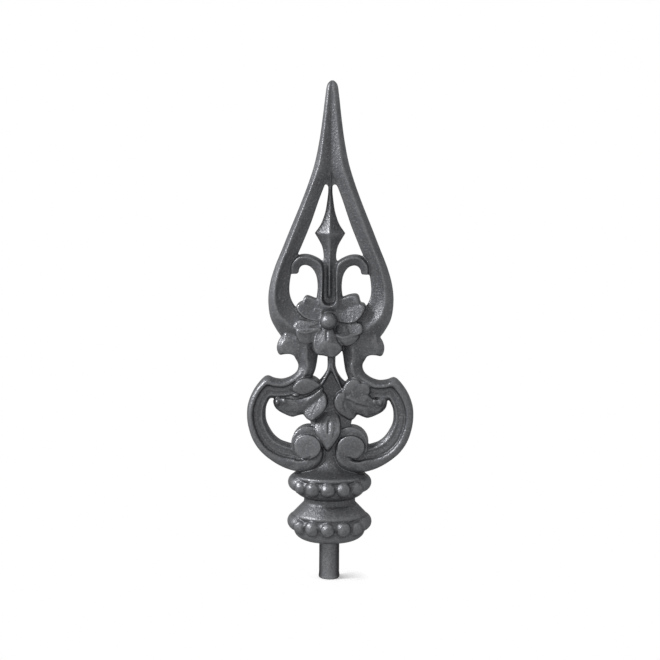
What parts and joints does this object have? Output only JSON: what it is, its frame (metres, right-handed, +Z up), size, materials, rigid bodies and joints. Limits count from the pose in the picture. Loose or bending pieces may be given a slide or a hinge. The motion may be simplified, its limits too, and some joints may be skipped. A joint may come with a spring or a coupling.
{
  "type": "fence spear finial",
  "caption": "Cast iron fence spear finial: openwork lance head with a dart and fleur, flower at the neck, leafy scroll loops with volutes, beaded round base and fixing pin.",
  "frame": {"origin": "centre of the fixing pin's end face", "axes": "+Z up along the pin and the spear to its tip, -Y out of the front, +X to the right as seen from the front"},
  "size_m": [0.1308, 0.0662, 0.392],
  "materials": {
    "cast_iron": "raw grey casting, fine sand grain, lightly blasted, unpainted"
  },
  "bodies": {
    "root": {"spear_finial": "cast_iron"}
  },
  "joints": []
}
